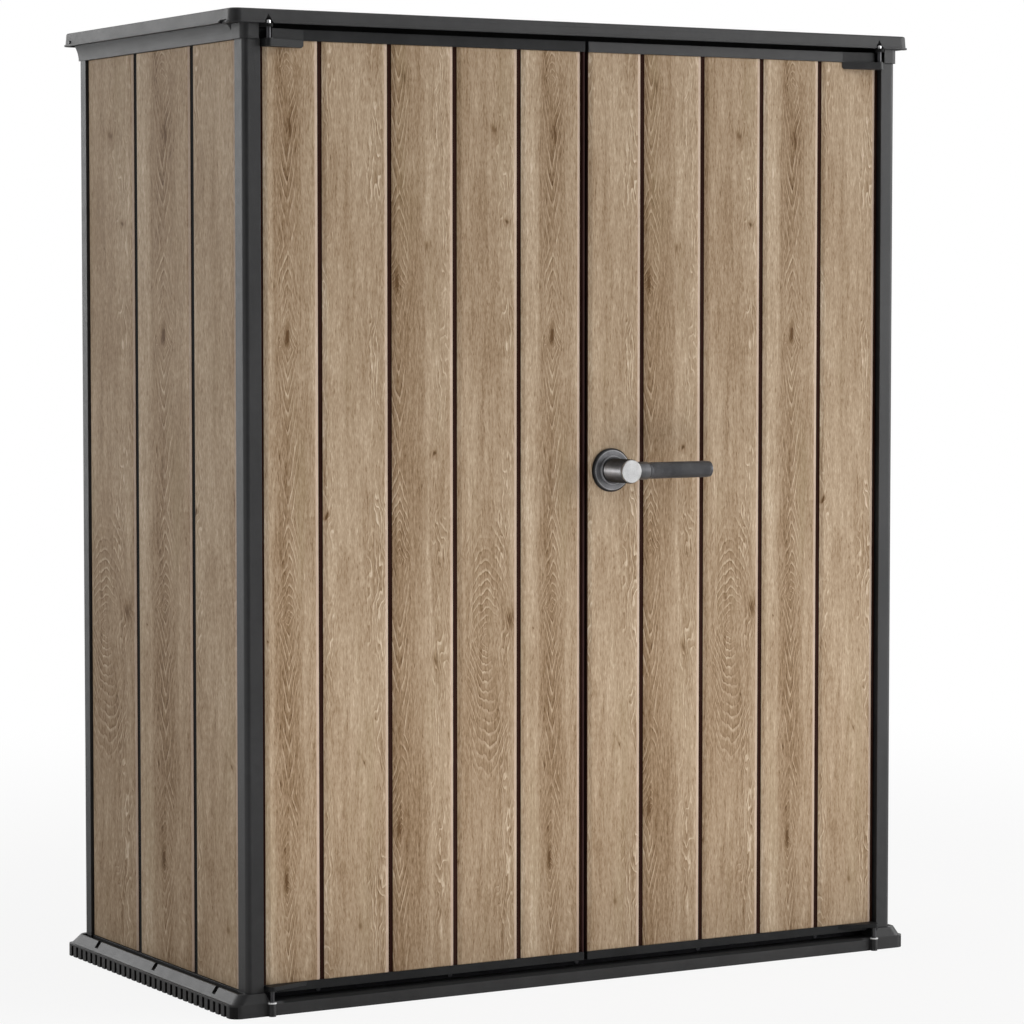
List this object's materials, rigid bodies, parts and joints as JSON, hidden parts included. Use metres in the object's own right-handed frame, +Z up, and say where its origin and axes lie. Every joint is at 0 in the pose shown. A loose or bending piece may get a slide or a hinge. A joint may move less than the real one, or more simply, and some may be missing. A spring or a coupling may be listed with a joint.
{
  "type": "storage shed",
  "caption": "Tall outdoor storage shed with plank-look doors and walls, a dark corner-post frame, a shallow capped roof and a lever handle.",
  "frame": {"origin": "on the ground, at the middle of the floor panel", "axes": "+X to the right of a person facing the doors, +Y from the doors to the back wall, +Z up"},
  "size_m": [1.402, 0.78, 1.713],
  "materials": {
    "wood_look_resin": "moulded oak-look grain, matte",
    "frame_resin": "fine-textured charcoal resin",
    "panel_resin": "dark brown-black resin",
    "edge_trim": "dark grey-brown resin",
    "handle_metal": "dark grey powder coat, satin",
    "grip_metal": "knurled, dark grey",
    "satin_metal": "satin",
    "steel": "zinc-plated",
    "aluminium_strip": "dark anodised",
    "bush_plastic": "nylon"
  },
  "bodies": {
    "cabinet": {"floor_panel": "frame_resin", "header_beam": "frame_resin", "hinge_washers": "steel", "left_corner_bracket": "frame_resin", "left_fascia": "frame_resin", "left_front_post": "frame_resin", "left_hinge_pins": "steel", "left_rear_panel": "panel_resin", "left_rear_post": "frame_resin", "left_wall_boards": "wood_look_resin", "left_wall_panel": "panel_resin", "rear_fascia": "frame_resin", "rear_joint_post": "frame_resin", "rear_wall_boards": "wood_look_resin", "right_corner_bracket": "frame_resin", "right_fascia": "frame_resin", "right_front_post": "frame_resin", "right_hinge_pins": "steel", "right_rear_panel": "panel_resin", "right_rear_post": "frame_resin", "right_wall_boards": "wood_look_resin", "right_wall_panel": "panel_resin", "roof_clips": "frame_resin", "roof_panel": "frame_resin", "roof_screws": "steel", "threshold_screws": "steel", "threshold_strip": "aluminium_strip", "upper_stop_rail": "frame_resin"},
    "left_door": {"left_door_boards": "wood_look_resin", "left_door_panel": "panel_resin", "left_door_inner_skin": "panel_resin", "left_door_top_rail": "frame_resin", "left_door_bottom_rail": "frame_resin", "left_hinge_bushes": "bush_plastic", "meeting_strip": "edge_trim", "strike_plate": "steel", "strike_screws": "steel", "top_bolt_guide": "frame_resin", "bottom_bolt_guide": "frame_resin", "bolt_guide_screws": "steel"},
    "right_door": {"right_door_boards": "wood_look_resin", "right_door_panel": "panel_resin", "right_door_inner_skin": "panel_resin", "right_door_top_rail": "frame_resin", "right_door_bottom_rail": "frame_resin", "right_hinge_bushes": "bush_plastic", "handle_rose": "handle_metal", "handle_inner_plate": "frame_resin", "handle_plate_screws": "steel"},
    "handle": {"handle_neck": "handle_metal", "handle_cap": "satin_metal", "lever_collar": "handle_metal", "lever_grip": "grip_metal", "handle_spindle": "steel", "latch_tongue": "steel", "latch_screw": "steel"},
    "top_bolt": {"top_bolt": "steel"},
    "bottom_bolt": {"bottom_bolt": "steel"}
  },
  "joints": [
    {"name": "left_door_hinge", "type": "hinge", "parent": "cabinet", "child": "left_door", "pos_m": [-0.6275, -0.362, 0.9], "axis": [0, 0, -1], "range_deg": [0, 120]},
    {"name": "right_door_hinge", "type": "hinge", "parent": "cabinet", "child": "right_door", "pos_m": [0.6275, -0.362, 0.9], "axis": [0, 0, 1], "range_deg": [0, 120]},
    {"name": "lever_turn", "type": "hinge", "parent": "right_door", "child": "handle", "pos_m": [0.056, -0.346, 0.9155], "axis": [0, 1, 0], "range_deg": [0, 90]},
    {"name": "top_bolt_slide", "type": "slide", "parent": "left_door", "child": "top_bolt", "axis": [0, 0, 1], "range_m": [0, 0.016]},
    {"name": "bottom_bolt_slide", "type": "slide", "parent": "left_door", "child": "bottom_bolt", "axis": [0, 0, -1], "range_m": [0, 0.016]}
  ]
}
